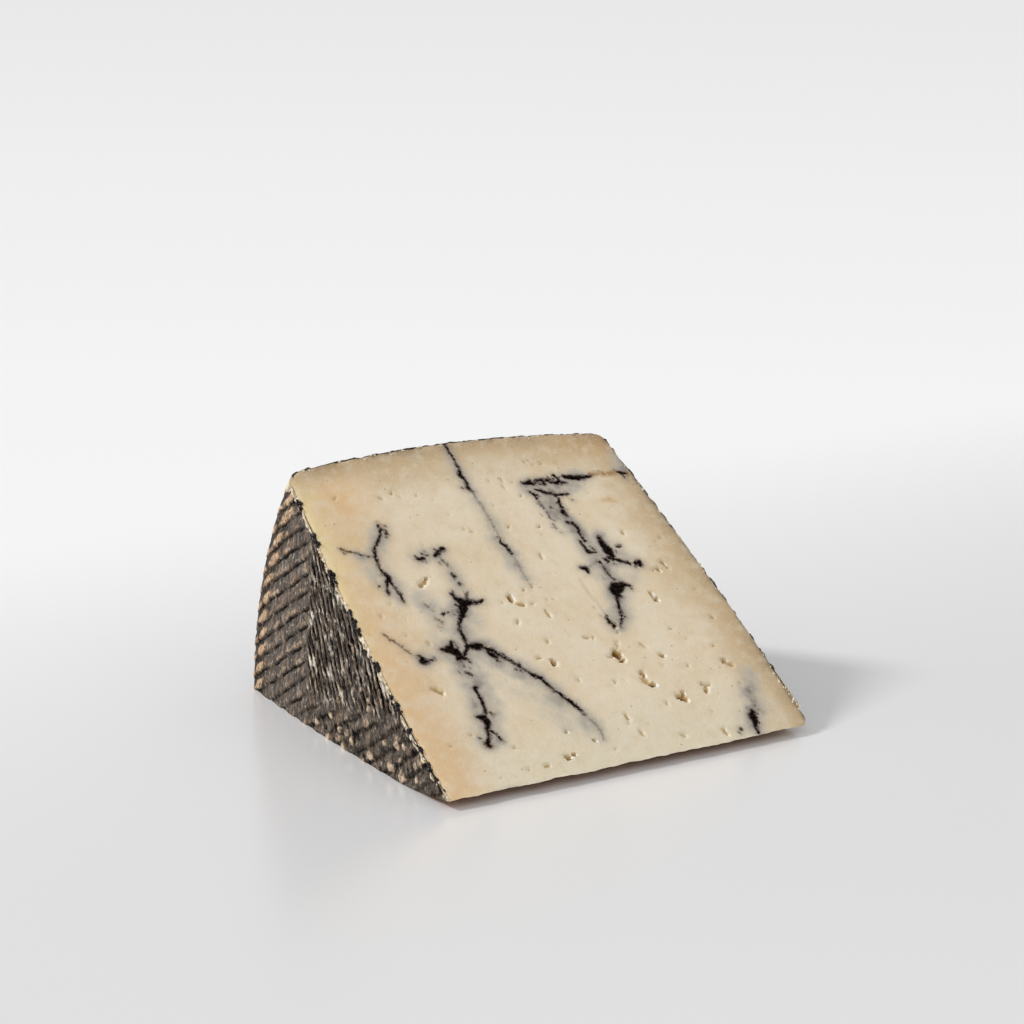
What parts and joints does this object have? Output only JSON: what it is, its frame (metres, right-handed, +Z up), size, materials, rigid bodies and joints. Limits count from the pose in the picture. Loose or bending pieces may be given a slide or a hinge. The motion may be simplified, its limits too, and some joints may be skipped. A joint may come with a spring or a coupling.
{
  "type": "truffle cheese wedge",
  "caption": "Wedge of hard sheep's milk cheese with dark truffle veins and a plaited dark rind, lying on one cut face.",
  "frame": {"origin": "on the table, under the middle of the wedge's box", "axes": "+Z up, +X along the wheel's axis from one flat rind face to the other, +Y from the sharp edge to the wheel's side"},
  "size_m": [0.1006, 0.0984, 0.0577],
  "materials": {
    "paste": "waxy ivory cheese paste, knife cut",
    "rind": "dry charcoal rind with tan worn crests",
    "truffle": "black truffle crumbs, slightly damp"
  },
  "bodies": {
    "root": {"cheese_wedge": "paste"}
  },
  "joints": []
}
